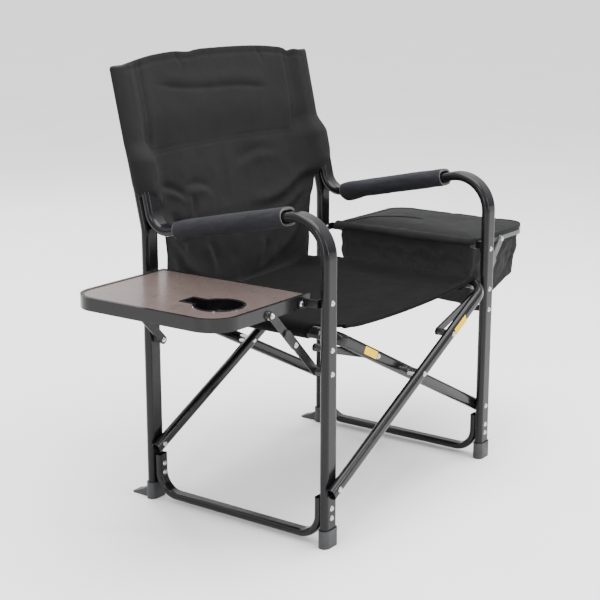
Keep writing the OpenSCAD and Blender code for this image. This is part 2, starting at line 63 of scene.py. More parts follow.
# ---------------------------------------------------------------- places taken from the frame

def span(node, axis):
    """Lowest and highest coordinate of a CAD node along one axis."""
    low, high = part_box(node)
    return low[axis], high[axis]


def middle(node, axis):
    return sum(span(node, axis)) / 2


X, Y, Z = 0, 1, 2
LEG_X = middle("right_arm_tube", X)
LEG_W, LEG_T = 0.038, 0.018
CROSS_R = 0.0125
RAIL_CENTRE = 0.0121          # from the seat rail's outer face to its centreline
FRONT_LEG_Y = middle("left_front_foot", Y)
REAR_LEG_Y = span("left_rear_post", Y)[0] + LEG_T / 2
RAIL_X = span("left_cross_tube", X)[1] - RAIL_CENTRE
RAIL_Z = span("left_cross_tube", Z)[1] - RAIL_CENTRE
POST_TOP_Z = span("left_rear_post", Z)[1]
POST_LEAN = math.radians(12.5)
ARM_SLOPE = math.radians(11.8)
POST_BEND_Z = 0.5616
POST_BEND_Y = REAR_LEG_Y + 0.0024


def post_y(z):
    """Y of the rear post's centreline at height z."""
    return POST_BEND_Y + max(0.0, z - POST_BEND_Z) * math.tan(POST_LEAN)


# ---------------------------------------------------------------- small maths

def smooth(t):
    t = np.clip(t, 0.0, 1.0)
    return t * t * (3 - 2 * t)


def bump_at(t, centre, width):
    """A rounded bump of height 1 about centre."""
    return np.exp(-((t - centre) / width) ** 2)


def fbm(x, y, z, octaves=3):
    """Smooth seeded noise from -1 to 1 at one point."""
    return noise.fractal(Vector((x, y, z)), 1.0, 2.0, octaves, noise_basis="PERLIN_ORIGINAL")


def noise_grid(points, scale, offset=(0, 0, 0), octaves=3):
    """Noise at every point of an (n, 3) array; scale may differ by axis."""
    scaled = points * np.asarray(scale) + np.asarray(offset)
    return np.array([fbm(*p, octaves) for p in scaled])


# ---------------------------------------------------------------- meshes

def new_object(name, vertices, faces):
    mesh = bpy.data.meshes.new(name)
    mesh.from_pydata([tuple(v) for v in vertices], [], faces)
    bm = bmesh.new()
    bm.from_mesh(mesh)
    bmesh.ops.recalc_face_normals(bm, faces=bm.faces)
    bm.to_mesh(mesh)
    bm.free()
    obj = bpy.data.objects.new(name, mesh)
    scene.collection.objects.link(obj)
    mesh.polygons.foreach_set("use_smooth", [True] * len(mesh.polygons))
    return obj


def folded_cap(start, size, fold):
    """Faces that close a ring by joining its points in pairs, mirrored about the fold point."""
    faces = []
    for j in range(size // 2):
        corners = [fold + j, fold + j + 1, fold - j - 1, fold - j]
        corners = list(dict.fromkeys(start + k % size for k in corners))
        faces.append(tuple(corners))
    return faces


def loft(name, rings, caps=True, fold=0):
    """A skin over rings of points; every ring has the same even number of points."""
    rings = [np.asarray(r, float) for r in rings]
    count, size = len(rings), len(rings[0])
    faces = []
    for i in range(count - 1):
        a, b = i * size, (i + 1) * size
        for j in range(size):
            k = (j + 1) % size
            faces.append((a + j, a + k, b + k, b + j))
    if caps:
        faces += folded_cap(0, size, fold) + folded_cap((count - 1) * size, size, fold)
    return new_object(name, np.concatenate(rings), faces)


def add_modifier(obj, kind, name, **values):
    modifier = obj.modifiers.new(name, kind)
    for key, value in values.items():
        setattr(modifier, key, value)
    return modifier


def apply_modifiers(obj):
    """Bakes an object's modifiers into its mesh."""
    graph = bpy.context.evaluated_depsgraph_get()
    mesh = bpy.data.meshes.new_from_object(obj.evaluated_get(graph))
    obj.modifiers.clear()
    obj.data = mesh
    mesh.polygons.foreach_set("use_smooth", [True] * len(mesh.polygons))
    return obj


def subdivide(obj):
    add_modifier(obj, "SUBSURF", "smooth", levels=1, render_levels=1)
    return apply_modifiers(obj)


def coordinates(obj):
    co = np.zeros(len(obj.data.vertices) * 3)
    obj.data.vertices.foreach_get("co", co)
    return co.reshape(-1, 3)


def set_coordinates(obj, co):
    obj.data.vertices.foreach_set("co", np.asarray(co).ravel())
    obj.data.update()


def oval(width, thickness, count=40):
    """Points of a flat oval: two half circles joined by straight sides."""
    radius, side = thickness / 2, width - thickness
    points = []
    for end in (1, -1):
        for k in range(count // 2):
            angle = math.pi * (k / (count // 2 - 1) - 0.5) + (0 if end > 0 else math.pi)
            points.append((end * side / 2 + radius * math.cos(angle), radius * math.sin(angle)))
    return np.array(points)


# ---------------------------------------------------------------- materials

class Shader:
    """A principled material with helpers for procedural detail in object coordinates."""

    def __init__(self, name, color, roughness, metallic=0.0, **fixed):
        self.material = bpy.data.materials.new(name)
        self.material.use_nodes = True
        self.tree = self.material.node_tree
        self.tree.nodes.clear()
        self.output = self.node("ShaderNodeOutputMaterial")
        self.shader = self.node("ShaderNodeBsdfPrincipled")
        self.link(self.shader.outputs[0], self.output.inputs["Surface"])
        self.color = color
        self.roughness = roughness
        self.shader.inputs["Base Color"].default_value = (*color, 1)
        self.shader.inputs["Roughness"].default_value = roughness
        self.shader.inputs["Metallic"].default_value = metallic
        for key, value in fixed.items():
            self.shader.inputs[key.replace("_", " ")].default_value = value
        self.place = self.node("ShaderNodeTexCoord").outputs["Object"]
        self.height = None

    def node(self, kind, **values):
        made = self.tree.nodes.new(kind)
        for key, value in values.items():
            setattr(made, key, value)
        return made

    def link(self, a, b):
        self.tree.links.new(a, b)

    def noise(self, scale, detail=3.0, roughness=0.5, stretch=(1, 1, 1)):
        mapping = self.node("ShaderNodeMapping")
        mapping.inputs["Scale"].default_value = stretch
        self.link(self.place, mapping.inputs["Vector"])
        texture = self.node("ShaderNodeTexNoise")
        texture.inputs["Scale"].default_value = scale
        texture.inputs["Detail"].default_value = detail
        texture.inputs["Roughness"].default_value = roughness
        self.link(mapping.outputs[0], texture.inputs["Vector"])
        return texture.outputs["Fac"]

    def map_range(self, value, low, high, from_low=0.3, from_high=0.7):
        made = self.node("ShaderNodeMapRange")
        made.inputs["From Min"].default_value = from_low
        made.inputs["From Max"].default_value = from_high
        made.inputs["To Min"].default_value = low
        made.inputs["To Max"].default_value = high
        self.link(value, made.inputs["Value"])
        return made.outputs[0]

    def math(self, operation, a, b):
        made = self.node("ShaderNodeMath", operation=operation)
        for socket, value in zip(made.inputs, (a, b)):
            if isinstance(value, (int, float)):
                socket.default_value = value
            else:
                self.link(value, socket)
        return made.outputs[0]

    def tint(self, factor, other):
        """Blends the current base colour towards another by a factor socket."""
        mix = self.node("ShaderNodeMix", data_type="RGBA")
        self.link(factor, mix.inputs["Factor"])
        source = self.shader.inputs["Base Color"]
        if source.is_linked:
            self.link(source.links[0].from_socket, mix.inputs[6])
        else:
            mix.inputs[6].default_value = (*self.color, 1)
        mix.inputs[7].default_value = (*other, 1)
        self.link(mix.outputs[2], source)
        return self

    def vary_color(self, amount, scale=30.0, stretch=(1, 1, 1), detail=4.0):
        other = tuple(min(1.0, c * (1 + amount)) for c in self.color)
        return self.tint(self.map_range(self.noise(scale, detail, stretch=stretch), 0, 1), other)

    def vary_roughness(self, low, high, scale=60.0):
        self.link(self.map_range(self.noise(scale, 4.0), low, high), self.shader.inputs["Roughness"])
        return self

    def add_height(self, value, weight=1.0):
        value = self.math("MULTIPLY", value, weight)
        self.height = value if self.height is None else self.math("ADD", self.height, value)
        return self

    def weave(self, period, axes=((1, 0, 0), (0, 1, 1))):
        """Over-and-under threads along two directions."""
        waves = []
        for axis in axes:
            dot = self.node("ShaderNodeVectorMath", operation="DOT_PRODUCT")
            dot.inputs[1].default_value = tuple(a * 2 * math.pi / period for a in axis)
            self.link(self.place, dot.inputs[0])
            waves.append(self.math("SINE", dot.outputs["Value"], 0))
        return self.add_height(self.math("MULTIPLY", waves[0], waves[1]))

    def bump(self, distance, strength=1.0, edge=0.0):
        """Turns the height into a normal; edge is the radius of the softened edges."""
        made = self.node("ShaderNodeBump")
        if edge > 0:
            soft = self.node("ShaderNodeBevel", samples=2)
            soft.inputs["Radius"].default_value = edge
            self.link(soft.outputs[0], made.inputs["Normal"])
        made.inputs["Distance"].default_value = distance
        made.inputs["Strength"].default_value = strength
        self.link(self.height, made.inputs["Height"])
        self.link(made.outputs[0], self.shader.inputs["Normal"])
        return self


def paint(name, color, roughness, specular=0.32):
    """Gloss-painted steel: orange peel, slight mottling, rubbed patches."""
    made = Shader(name, color, roughness)
    made.shader.inputs["Specular IOR Level"].default_value = specular
    made.vary_color(0.35, 22).vary_color(0.15, 140)
    made.vary_roughness(roughness * 0.75, roughness * 1.35, 35)
    made.add_height(made.noise(700, 2), 1.0).add_height(made.noise(120, 2), 0.5)
    return made.bump(0.0001, 0.2, edge=0.0012).material


THREAD_PERIOD = 0.0016


def fabric(name, color, roughness=0.85, specular=0.12):
    """Woven polyester: fine weave, soft sheen, uneven dye and faint dust."""
    made = Shader(name, color, roughness, Sheen_Weight=0.03, Sheen_Roughness=0.45)
    made.shader.inputs["Specular IOR Level"].default_value = specular
    made.vary_color(0.35, 9).vary_color(0.30, 420)
    made.vary_roughness(roughness - 0.08, min(1.0, roughness + 0.06), 24)
    made.weave(THREAD_PERIOD)
    made.add_height(made.noise(260, 3), 0.8).add_height(made.noise(60, 3), 1.5)
    return made.bump(0.00035, 0.55).material


def plastic(name, color, roughness, grain=600, coat=0.0, wear=0.3):
    """Moulded plastic: fine grain and slight gloss changes."""
    made = Shader(name, color, roughness, Coat_Weight=coat, Coat_Roughness=0.06)
    made.vary_color(wear, 45)
    made.vary_roughness(roughness * 0.8, roughness * 1.25, 70)
    made.add_height(made.noise(grain, 3))
    return made.bump(0.0001, 0.4, edge=0.0015).material


def laminate():
    """Brown table laminate with a fine light and dark speckle under a clear coat."""
    made = Shader("table_laminate", (0.078, 0.054, 0.049), 0.3, Coat_Weight=0.5, Coat_Roughness=0.18)
    made.tint(made.map_range(made.noise(520, 2), 0, 0.55, 0.50, 0.70), (0.145, 0.107, 0.097))
    made.tint(made.map_range(made.noise(700, 2), 0, 0.22, 0.52, 0.80), (0.063, 0.043, 0.039))
    made.tint(made.map_range(made.noise(12, 3), 0, 0.35), (0.120, 0.092, 0.085))
    made.vary_roughness(0.26, 0.38, 50)
    made.add_height(made.noise(900, 2))
    return made.bump(0.00008, 0.3).material


def rivet_metal():
    made = Shader("rivet_steel", (0.55, 0.55, 0.54), 0.24, 1.0)
    made.vary_color(-0.3, 300).vary_roughness(0.15, 0.38, 500)
    made.add_height(made.noise(1500, 2))
    return made.bump(0.00008, 0.5).material


def sticker():
    """Plain vinyl sticker: yellow with a paler field and no wording."""
    made = Shader("label_vinyl", (0.80, 0.49, 0.0), 0.5, Specular_IOR_Level=0.08)
    made.vary_color(0.08, 60).vary_roughness(0.32, 0.48, 90)
    patch = made.noise(45, 1, stretch=(0.3, 1, 0.3))
    made.tint(made.map_range(patch, 0, 0.5, 0.52, 0.56), (0.86, 0.62, 0.004))
    made.add_height(made.noise(400, 2))
    return made.bump(0.00005, 0.3).material


MATERIALS = {
    "frame_paint": paint("frame_paint", (0.0055, 0.0055, 0.0063), 0.15, 0.22),
    "bar_paint": paint("bar_paint", (0.0065, 0.0065, 0.0072), 0.18, 0.24),
    "link_paint": paint("link_paint", (0.0055, 0.0055, 0.0063), 0.20, 0.22),
    "strut_paint": paint("strut_paint", (0.011, 0.011, 0.012), 0.28, 0.24),
    "bracket_paint": paint("bracket_paint", (0.005, 0.005, 0.006), 0.32, 0.25),
    "cooler_frame_paint": paint("cooler_frame_paint", (0.062, 0.062, 0.066), 0.28),
    "rim_paint": paint("rim_paint", (0.0078, 0.0072, 0.0072), 0.18, 0.26),
    "rivet_steel": rivet_metal(),
    "spacer_plastic": plastic("spacer_plastic", (0.010, 0.010, 0.011), 0.45),
    "foot_plastic": plastic("foot_plastic", (0.018, 0.019, 0.021), 0.5),
    "cup_plastic": plastic("cup_plastic", (0.0045, 0.0045, 0.0055), 0.12, 300, 0.8),
    # seat_fabric is the back's cloth given a far darker colour and weaker specular: painted shade for the
    # dimmer light the seat gets
    "seat_fabric": fabric("seat_fabric", (0.0030, 0.0028, 0.0027), specular=0.04),
    "back_fabric": fabric("back_fabric", (0.0108, 0.0106, 0.0108), specular=0.07),
    "pad_fabric": fabric("pad_fabric", (0.0140, 0.0140, 0.0168), 0.75),
    "cooler_fabric": fabric("cooler_fabric", (0.0170, 0.0168, 0.0172), specular=0.08),
    "lid_fabric": fabric("lid_fabric", (0.0105, 0.0106, 0.0110), 0.8, specular=0.08),
    "table_laminate": laminate(),
    "label_vinyl": sticker(),
}
FOAM = plastic("pad_foam", (0.085, 0.082, 0.080), 0.9, 220, wear=0.6)


def dress(obj, slot, material=None):
    """Gives a piece its material and names the record's slot."""
    obj.data.materials.clear()
    obj.data.materials.append(material or MATERIALS[slot])
    return obj


def dress_cad():
    """Carried-over CAD nodes take the material of their slot in the record."""
    for part in frame["record"]["subparts"]:
        obj = frame["nodes"][part["node"]]
        obj.data.materials.clear()
        obj.data.materials.append(MATERIALS[part["material_slot"]])


# ---------------------------------------------------------------- cloth

# How far the simulation may move a point of each piece
BACK_SLACK, SEAT_SLACK, BAG_SLACK, LID_SLACK = 0.012, 0.010, 0.011, 0.006


def run_cloth(obj, pins, frames=22, pressure=0.0, gravity=0.0, growth=0.0, stiffness=12.0,
              bending=0.6, mass=0.25):
    """Simulates obj as cloth and keeps the result. pins is a weight for each vertex."""
    group = obj.vertex_groups.new(name="pins")
    for index, weight in enumerate(pins):
        if weight > 0:
            group.add([index], float(weight), "REPLACE")
    cloth = obj.modifiers.new("cloth", "CLOTH")
    settings = cloth.settings
    settings.quality = 6
    settings.mass = mass
    settings.tension_stiffness = settings.compression_stiffness = stiffness
    settings.shear_stiffness = stiffness / 2
    settings.bending_stiffness = bending
    settings.vertex_group_mass = "pins"
    settings.pin_stiffness = 1.0
    settings.shrink_min = -growth
    settings.shrink_max = -growth
    settings.use_pressure = pressure != 0
    settings.uniform_pressure_force = pressure
    settings.effector_weights.gravity = gravity
    cloth.collision_settings.use_collision = False
    cloth.collision_settings.use_self_collision = False
    cloth.point_cache.frame_start = 1
    cloth.point_cache.frame_end = frames
    for step in range(1, frames + 1):
        scene.frame_set(step)
    result = coordinates_after(obj)
    obj.modifiers.clear()
    obj.vertex_groups.clear()
    scene.frame_set(1)
    return result


def coordinates_after(obj):
    graph = bpy.context.evaluated_depsgraph_get()
    mesh = obj.evaluated_get(graph).data
    co = np.zeros(len(mesh.vertices) * 3)
    mesh.vertices.foreach_get("co", co)
    return co.reshape(-1, 3)


def capped(before, after, limit):
    """after, with no point further than limit from where it was."""
    move = after - before
    length = np.linalg.norm(move, axis=1, keepdims=True)
    return before + move * np.minimum(1.0, limit / np.maximum(length, 1e-9))


def blurred(values, passes):
    """Evens out a grid of moves; the border stays."""
    for _ in range(passes):
        around = values[:-2, 1:-1] + values[2:, 1:-1] + values[1:-1, :-2] + values[1:-1, 2:]
        values = values.copy()
        values[1:-1, 1:-1] = 0.5 * values[1:-1, 1:-1] + 0.125 * around
    return values


def simulated_grid(grid, pins, cap, **settings):
    """Runs cloth on a grid of points (rows, columns, 3) and returns the draped grid."""
    rows, columns = grid.shape[:2]
    faces = [(r * columns + c, r * columns + c + 1, (r + 1) * columns + c + 1, (r + 1) * columns + c)
             for r in range(rows - 1) for c in range(columns - 1)]
    flat = grid.reshape(-1, 3)
    obj = new_object("cloth_sheet", flat, faces)
    after = capped(flat, run_cloth(obj, pins.ravel(), **settings), cap)
    bpy.data.objects.remove(obj)
    return grid + blurred(after.reshape(grid.shape) - grid, passes=14)


# ---------------------------------------------------------------- backrest

SLEEVE_LOW_Z = 0.648          # the fabric starts to leave the posts here
TAIL_TOP_Z = POST_TOP_Z - 0.188
BACK_LOW_Z = 0.388            # hem of the back, tucked behind the seat
BACK_SEAM_X = 0.236
SLEEVE_FABRIC = 0.0022
RIVET_HEAD = 0.0032

# Loose folds of the lower back: start and end (x, z), width and depth
BACK_FOLDS = [
    ((0.275, 0.612), (0.040, 0.545), 0.012, 0.0065),
    ((0.250, 0.570), (0.110, 0.515), 0.010, 0.0045),
    ((-0.235, 0.628), (-0.140, 0.585), 0.008, 0.0045),
    ((-0.160, 0.615), (-0.060, 0.600), 0.009, 0.0040),
    ((-0.135, 0.600), (-0.150, 0.545), 0.008, 0.0045),
    ((-0.225, 0.575), (-0.150, 0.480), 0.012, 0.0050),
    ((-0.100, 0.505), (-0.070, 0.430), 0.010, 0.0035),
    ((0.100, 0.480), (0.070, 0.415), 0.012, 0.0035),
    ((0.215, 0.510), (0.150, 0.425), 0.011, 0.0045),
    ((0.020, 0.640), (0.190, 0.655), 0.011, 0.0030),
]


def back_top_z(s):
    """Height of the back's top edge; s runs from -1 at the left post to 1 at the right post."""
    rise = 0.021 * (1 - abs(s) ** 3.2)
    dip = 0.0035 * bump_at(s, -0.25, 0.09)
    notch = 0.005 * bump_at(s, 0.86, 0.035)
    return POST_TOP_Z + 0.001 + rise - dip - notch


def back_half_width(z):
    """Half width of the back fabric: as wide as the posts, then narrowing below the sleeves."""
    heights = (BACK_LOW_Z, 0.49, 0.545, 0.590, 0.618, 0.640)
    widths = (0.243, 0.239, 0.246, 0.270, 0.290, LEG_X)
    return float(np.interp(z, heights, widths))


def back_grid(rows, columns):
    grid = np.zeros((rows, columns, 3))
    for r in range(rows):
        t = r / (rows - 1)
        for c in range(columns):
            s = 2 * c / (columns - 1) - 1
            z = BACK_LOW_Z + (back_top_z(s) - BACK_LOW_Z) * t
            sag = 0.013 * (1 - s * s) * smooth((z - 0.47) / 0.2)
            tuck = 0.004 * smooth((0.45 - z) / 0.05)
            grid[r, c] = (s * back_half_width(z), post_y(z) + sag + tuck, z)
    return grid


def fold_depth(x, z, start, end, width, depth):
    """A crease with one steep side along a line in the X-Z plane."""
    ax, az = start
    dx, dz = end[0] - ax, end[1] - az
    length = math.hypot(dx, dz)
    along = ((x - ax) * dx + (z - az) * dz) / length / length
    across = ((z - az) * dx - (x - ax) * dz) / length
    across = across - 0.10 * length * np.sin(math.pi * np.clip(along, 0, 1))
    fade = smooth(along / 0.3) * smooth((1 - along) / 0.45)
    shape = bump_at(across, 0, width) - 0.8 * bump_at(across, -1.3 * width, width * 1.2)
    return depth * shape * fade


def build_backrest():
    rows, columns = 130, 121
    grid = back_grid(rows, columns)
    s = np.linspace(-1, 1, columns)[None, :] * np.ones((rows, 1))
    z = grid[:, :, 2]
    on_post = (np.abs(s) > 0.93) & (z > SLEEVE_LOW_Z - 0.006)
    pins = np.where(on_post, 1.0, 0.0)
    pins[0, :] = 1.0
    pins[:, 0] = pins[:, -1] = 1.0
    pins[:, 1] = pins[:, -2] = 0.9
    pins = np.maximum(pins, 0.4 * smooth((z - 0.70) / 0.1))
    grid = simulated_grid(grid, pins, BACK_SLACK, frames=24, gravity=0.35, growth=0.03, bending=0.35)
    x = grid[:, :, 0]
    top = np.array([[back_top_z(v) for v in s[0]]]) * np.ones((rows, 1))
    relief = np.zeros((rows, columns))
    upper = smooth((z - 0.690) / 0.012)
    pucker = 1 + 0.5 * np.sin(z * 520) * np.sin(z * 190)
    for side in (-1, 1):
        relief -= 0.0016 * bump_at(x, side * BACK_SEAM_X, 0.0030) * upper * pucker
        relief += 0.0010 * bump_at(x, side * (BACK_SEAM_X - 0.012), 0.010) * upper
    across = smooth((BACK_SEAM_X - np.abs(x)) / 0.004)
    for seam_z in (0.694, 0.702):
        relief -= 0.0014 * bump_at(z, seam_z - 0.005 * (x / BACK_SEAM_X) ** 2, 0.0024) * across
    crease_z = 0.803 - 0.070 * x + 0.003 * np.sin(x * 21)
    relief -= 0.0038 * bump_at(z, crease_z, 0.0046) * smooth((0.190 - np.abs(x + 0.015)) / 0.06)
    relief += 0.0020 * bump_at(z, crease_z + 0.018, 0.012) * smooth((0.19 - np.abs(x)) / 0.06)
    relief -= 0.0026 * bump_at(top - z, 0.0135, 0.0024)
    for px, lean in ((-0.120, 0.7), (-0.020, -0.8), (0.010, -1.0), (0.150, 0.4)):
        line = x - px - lean * (top - z)
        reach = smooth((top - z) / 0.01) * smooth((0.045 - (top - z)) / 0.03)
        relief -= 0.0022 * bump_at(line, 0, 0.005) * reach
    for fold in BACK_FOLDS:
        relief -= 1.35 * fold_depth(x, z, *fold)
    flat = grid.reshape(-1, 3)
    lower = smooth((0.71 - z) / 0.06).ravel()
    broad = noise_grid(flat, (7, 7, 6), (3.1, 0, 1.7))
    fine = noise_grid(flat, (24, 20, 20), (1.1, 4, 2.7))
    wave = broad * (0.0012 + 0.0050 * lower) + fine * (0.0004 + 0.0008 * lower)
    edge = smooth((1 - np.abs(s)) / 0.10)
    relief = (relief + wave.reshape(relief.shape)) * edge
    sleeve = smooth((np.abs(s) - 0.84) / 0.1) * smooth((z - 0.594) / 0.03)
    over_tail = smooth((np.abs(x) - 0.205) / 0.070) * smooth((TAIL_TOP_Z + 0.050 - z) / 0.047) \
        * smooth((z - 0.584) / 0.02)
    thin = 0.0022
    thick = LEG_T / 2 + SLEEVE_FABRIC
    ahead = thin + (thick - thin) * sleeve + (LEG_T + RIVET_HEAD) * over_tail
    behind = thin + (thick - thin) * sleeve
    normal = np.array([0, -math.cos(POST_LEAN), math.sin(POST_LEAN)])
    front = grid + normal * (ahead + relief)[:, :, None]
    back = grid - normal * (behind - relief * 0.8)[:, :, None]
    rings = []
    arc = 9
    for r in range(rows):
        ring = list(front[r])
        for side, column in ((1, -1), (-1, 0)):
            centre = (front[r, column] + back[r, column]) / 2
            reach_out = (LEG_W / 2 + SLEEVE_FABRIC) * sleeve[r, column] + 0.004 * over_tail[r, column] + thin
            bow = front[r, column] - centre
            if side < 0:
                ring += list(back[r][::-1])
            turns = [math.pi * k / (arc + 1) for k in range(1, arc + 1)]
            for turn in (turns if side > 0 else turns[::-1]):
                outward = np.array([side * reach_out * math.sin(turn), 0, 0])
                ring.append(centre + bow * math.cos(turn) + outward)
        rings.append(np.array(ring))
    obj = loft("back_fabric", rings, fold=-(arc + 1) // 2)
    subdivide(obj)
    dress(obj, "back_fabric")
    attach(obj, "left_frame")
    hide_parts("backrest")
    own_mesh(obj)
    return obj


# ---------------------------------------------------------------- seat

RAIL_BEND = 0.042
LEFT_RAIL_Y = (FRONT_LEG_Y + 0.060, REAR_LEG_Y - 0.024)     # straight part of each seat rail
RIGHT_RAIL_Y = (FRONT_LEG_Y + 0.024, REAR_LEG_Y - 0.060)


def rail_grip(y, ends):
    """1 where the fabric wraps a seat rail, 0 beyond the rail's straight part."""
    return smooth((y - ends[0] + 0.006) / 0.014) * smooth((ends[1] + 0.006 - y) / 0.014)


def seat_reach(y, ends):
    """How far out the fabric reaches at depth y: over the rail, then cut round its bends."""
    past = np.clip(np.maximum(ends[0] - y, y - ends[1]) / RAIL_BEND, 0, 0.97)
    return RAIL_X - 0.002 - 0.75 * RAIL_BEND * (1 - math.sqrt(1 - past * past))


def build_seat():
    rows, columns = 100, 121
    y0, y1 = FRONT_LEG_Y + 0.004, REAR_LEG_Y + 0.006
    grid = np.zeros((rows, columns, 3))
    for r in range(rows):
        y = y0 + (y1 - y0) * r / (rows - 1)
        left, right = -seat_reach(y, LEFT_RAIL_Y), seat_reach(y, RIGHT_RAIL_Y)
        for c in range(columns):
            s = 2 * c / (columns - 1) - 1
            x = left + (right - left) * (s + 1) / 2
            sag = 0.009 * (1 - s * s)
            grid[r, c] = (x, y, RAIL_Z + CROSS_R + 0.001 - sag)
    s = np.linspace(-1, 1, columns)[None, :] * np.ones((rows, 1))
    pins = np.where(np.abs(s) > 0.93, 1.0, 0.0)
    pins[0, :] = np.maximum(pins[0, :], 0.5)
    grid = simulated_grid(grid, pins, SEAT_SLACK, frames=20, gravity=0.4, growth=0.012, bending=0.5)
    flat = grid.reshape(-1, 3)
    y = grid[:, :, 1]
    ripple = (0.0016 * noise_grid(flat, (8, 5, 5), (4, 8, 1))
              + 0.0006 * noise_grid(flat, (5, 30, 5), (2, 3, 1))).reshape(y.shape)
    ripple *= smooth((1 - np.abs(s)) / 0.15)
    for seam in (0.013, 0.019):
        ripple -= 0.0011 * bump_at(y, y0 + seam, 0.0016)
    grip = np.where(s < 0, rail_grip(y, LEFT_RAIL_Y), rail_grip(y, RIGHT_RAIL_Y))
    wrap = smooth((np.abs(s) - 0.86) / 0.09) * grip
    hem = 0.0030 * smooth((y0 + 0.014 - y) / 0.004)
    rings = []
    arc = 11
    for r in range(rows):
        top = grid[r] + np.array([0, 0, 1.0]) * (ripple[r] + 0.0012 + hem[r] * 0.3)[:, None]
        below = -0.0030 - hem[r] - (2 * CROSS_R + 0.0015) * wrap[r]
        under = grid[r] + np.array([0, 0, 1.0]) * below[:, None]
        ring = list(top)
        for side, column in ((1, -1), (-1, 0)):
            centre = (top[column] + under[column]) / 2
            bow = top[column] - centre
            if side < 0:
                ring += list(under[::-1])
            turns = [math.pi * k / (arc + 1) for k in range(1, arc + 1)]
            for turn in (turns if side > 0 else turns[::-1]):
                out = side * (0.003 + (CROSS_R + 0.0015) * wrap[r, column]) * math.sin(turn)
                ring.append(centre + bow * math.cos(turn) + np.array([out, 0, 0]))
        rings.append(np.array(ring))
    obj = loft("seat_fabric", rings, fold=-(arc + 1) // 2)
    subdivide(obj)
    dress(obj, "seat_fabric")
    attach(obj, "seat")
    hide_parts("seat_sling")
    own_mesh(obj)
    return obj


# ---------------------------------------------------------------- arm pads

def build_arm_pad(node, body):
    """Foam tube in a fabric cover; its ends show the foam around the arm tube."""
    low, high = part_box(node)
    centre = (low + high) / 2
    direction = np.array([0, math.cos(ARM_SLOPE), -math.sin(ARM_SLOPE)])
    upward = np.array([0, math.sin(ARM_SLOPE), math.cos(ARM_SLOPE)])
    length = 0.262
    outer, inner = oval(0.053, 0.037, 64), oval(LEG_W + 0.003, LEG_T + 0.003, 64)
    mid = oval(0.0505, 0.0345, 64)
    stations = [(-0.5, inner, -0.02), (-0.5, inner, 0.0), (-0.5, (inner + mid) / 2, 0.002), (-0.5, mid, 0.0)]
    count = 44
    for k in range(count + 1):
        t = k / count - 0.5
        fade = 1 - 0.10 * smooth((abs(t) - 0.47) / 0.03)
        stations.append((t, outer * fade, None))
    stations += [(0.5, mid, 0.0), (0.5, (inner + mid) / 2, -0.002), (0.5, inner, 0.0), (0.5, inner, 0.02)]
    rings = []
    for t, shape, inset in stations:
        along = t * length
        if inset is not None:
            along += -math.copysign(abs(inset), t) * (1 if abs(inset) > 0.01 else 0.5)
        base = np.array(centre) + direction * along
        ring = []
        for u, v in shape:
            lump = 0.0
            if inset is None:
                lump = 0.0009 * fbm(u * 40, t * 9, v * 60 + centre.x * 5) \
                    + 0.0005 * fbm(u * 120, t * 40, v * 120)
                seam = bump_at(v, -0.0183, 0.0012) * bump_at(u, 0.004, 0.002)
                lump -= 0.0016 * seam
            grow = 1 + lump / 0.02
            droop = 1.0
            if v < 0 and inset is None:
                droop += 0.30 * smooth((t - 0.30) / 0.14) * smooth((0.505 - t) / 0.03)
            ring.append(base + np.array([1, 0, 0]) * u * grow + upward * v * grow * droop)
        rings.append(np.array(ring))
    obj = loft(node + "_cover", rings, caps=False)
    subdivide(obj)
    dress(obj, "pad_fabric")
    obj.data.materials.append(FOAM)
    ends = np.dot(coordinates(obj) - np.array(centre), direction)
    sides = np.abs(ends) > length / 2 - 0.0016
    for polygon in obj.data.polygons:
        if all(sides[i] for i in polygon.vertices):
            polygon.material_index = 1
    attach(obj, body)
    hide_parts(node)
    return obj


# ---------------------------------------------------------------- cooler

def rounded_rectangle(x0, x1, y0, y1, radii, count=24):
    """Outline of a rectangle with its own radius at each corner, counted from (x1, y1) round."""
    corners = [(x1, y1, 0), (x0, y1, 90), (x0, y0, 180), (x1, y0, 270)]
    points = []
    for (cx, cy, start), radius in zip(corners, radii):
        ox = cx - radius if cx == x1 else cx + radius
        oy = cy - radius if cy == y1 else cy + radius
        for k in range(count):
            angle = math.radians(start + 90 * k / (count - 1))
            points.append((ox + radius * math.cos(angle), oy + radius * math.sin(angle)))
    return np.array(points)


def resample(points, count):
    """The closed outline as evenly spaced points."""
    loop = np.vstack([points, points[:1]])
    length = np.concatenate([[0], np.cumsum(np.linalg.norm(np.diff(loop, axis=0), axis=1))])
    at = np.linspace(0, length[-1], count, endpoint=False)
    return np.stack([np.interp(at, length, loop[:, k]) for k in range(loop.shape[1])], axis=1)


